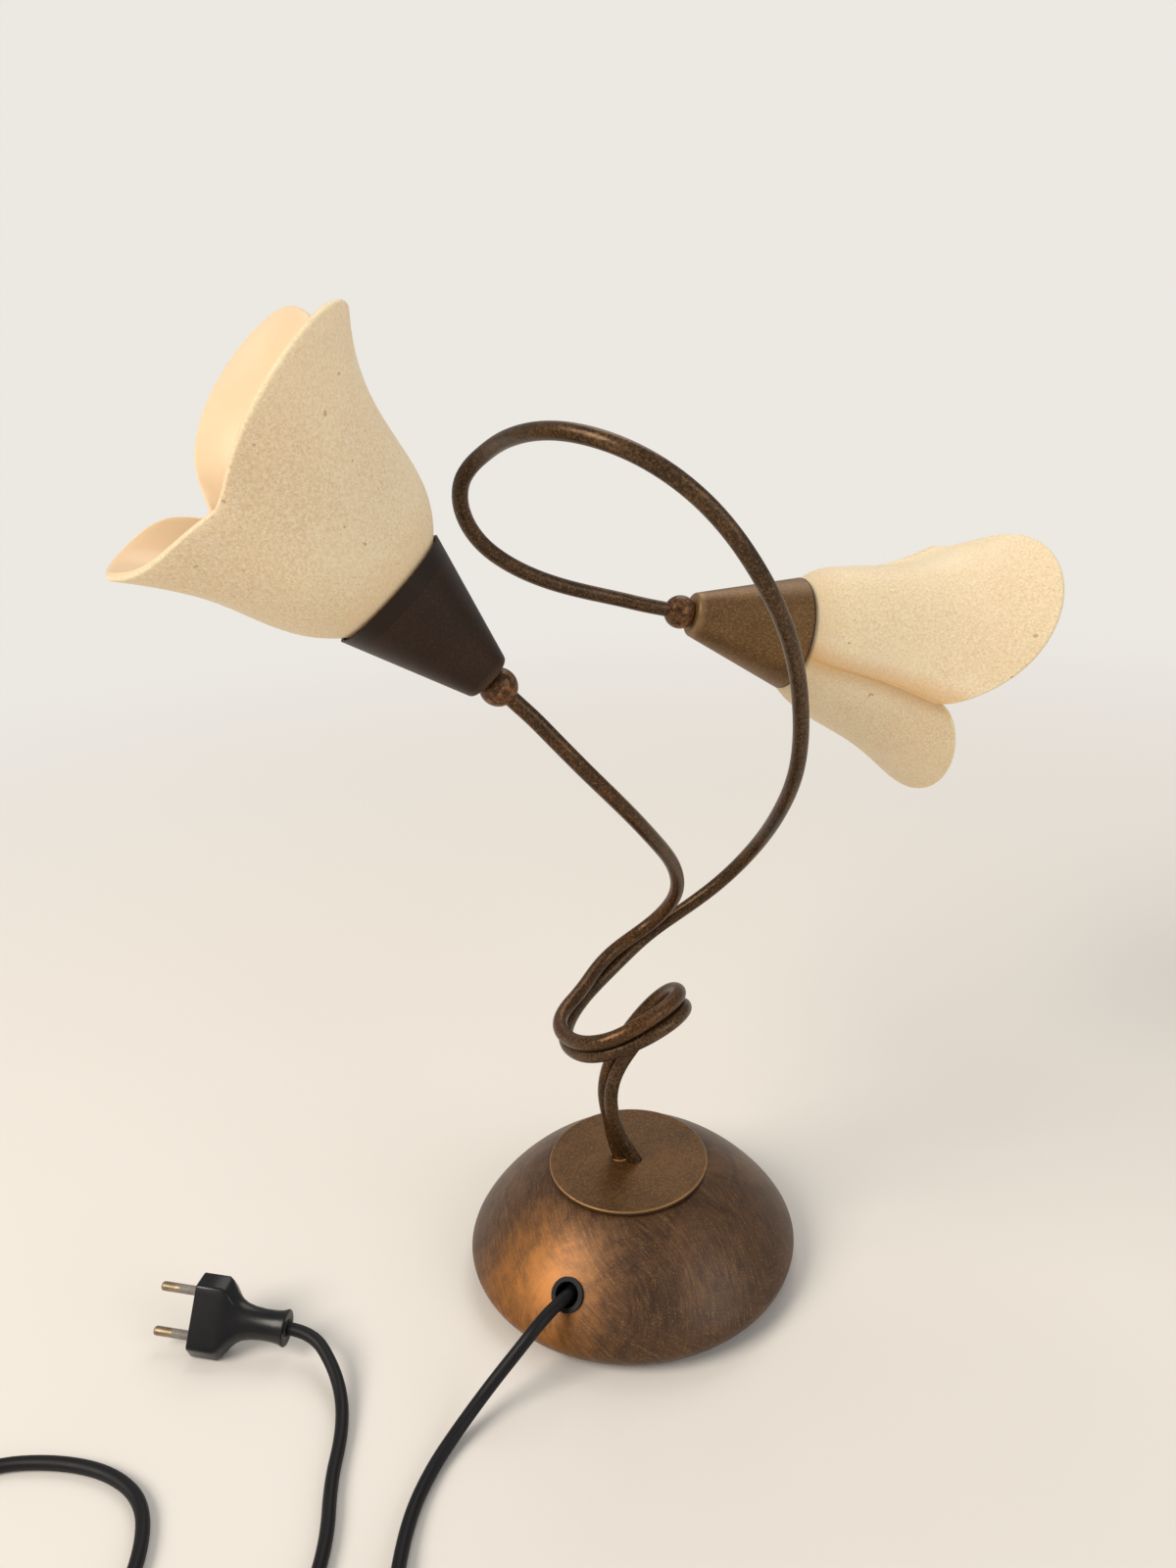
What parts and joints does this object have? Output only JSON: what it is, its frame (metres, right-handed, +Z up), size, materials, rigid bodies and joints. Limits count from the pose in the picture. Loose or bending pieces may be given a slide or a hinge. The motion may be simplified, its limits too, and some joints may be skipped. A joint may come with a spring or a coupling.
{
  "type": "table lamp",
  "caption": "Table lamp with curled bronze tube arms that carry tulip shades of amber glass, on a round domed base with a mains cord.",
  "frame": {"origin": "centre of the base's underside, on the table", "axes": "+Z up, front is -Y, +X to the right of the picture"},
  "size_m": [0.5008, 0.4383, 0.4287],
  "materials": {
    "bronze_paint": "satin bronze, brushed",
    "disc_bronze": "speckled bronze",
    "arm_bronze": "dark bronze with gold dry brushing",
    "cup_bronze": "speckled antique bronze",
    "bead_bronze": "mottled bronze",
    "steel": "zinc plated",
    "iron": "as cast",
    "felt": "felt",
    "amber_glass": "frosted outside, cream inside",
    "bulb_glass": "opal",
    "brass": "plain",
    "bakelite": "satin",
    "cord_black": "satin sheath",
    "lead_clear": "twin lead",
    "plug_black": "satin",
    "sleeve_grey": "satin",
    "pin_metal": "nickel"
  },
  "bodies": {
    "lamp": {"base_bolts": "steel", "base_disc": "disc_bronze", "base_felt": "felt", "base_shell": "bronze_paint", "base_sleeves": "steel", "base_weight": "iron", "bolt_washers": "steel", "clamp_plate": "steel", "clamp_screws": "steel", "cord_clamp": "steel", "cord_coil": "cord_black", "cord_grommet": "plug_black", "cord_to_coil": "cord_black", "cord_to_plug": "cord_black", "cord_to_switch": "cord_black", "inner_cord": "cord_black", "left_arm": "arm_bronze", "left_bead": "bead_bronze", "left_bulb_cap": "steel", "left_bulb_glass": "bulb_glass", "left_contacts": "brass", "left_cup": "cup_bronze", "left_glass": "amber_glass", "left_lampholder": "bakelite", "left_lead": "lead_clear", "left_nipple": "steel", "left_nut": "steel", "left_shade_ring": "bakelite", "plug_body": "plug_black", "plug_pins": "pin_metal", "plug_sleeves": "sleeve_grey", "right_arm": "arm_bronze", "right_bead": "bead_bronze", "right_bulb_cap": "steel", "right_bulb_glass": "bulb_glass", "right_contacts": "brass", "right_cup": "cup_bronze", "right_glass": "amber_glass", "right_lampholder": "bakelite", "right_lead": "lead_clear", "right_nipple": "steel", "right_nut": "steel", "right_shade_ring": "bakelite", "rocker_pin": "steel", "switch_base": "plug_black", "switch_cover": "plug_black", "switch_screws": "steel", "terminal_block": "sleeve_grey", "terminal_screws": "steel"},
    "rocker": {"rocker": "plug_black"}
  },
  "joints": [
    {"name": "rocker_hinge", "type": "hinge", "parent": "lamp", "child": "rocker", "pos_m": [-0.095, -0.215, 0.013], "axis": [-0.9962, 0.0872, 0], "range_deg": [0, 16]}
  ]
}
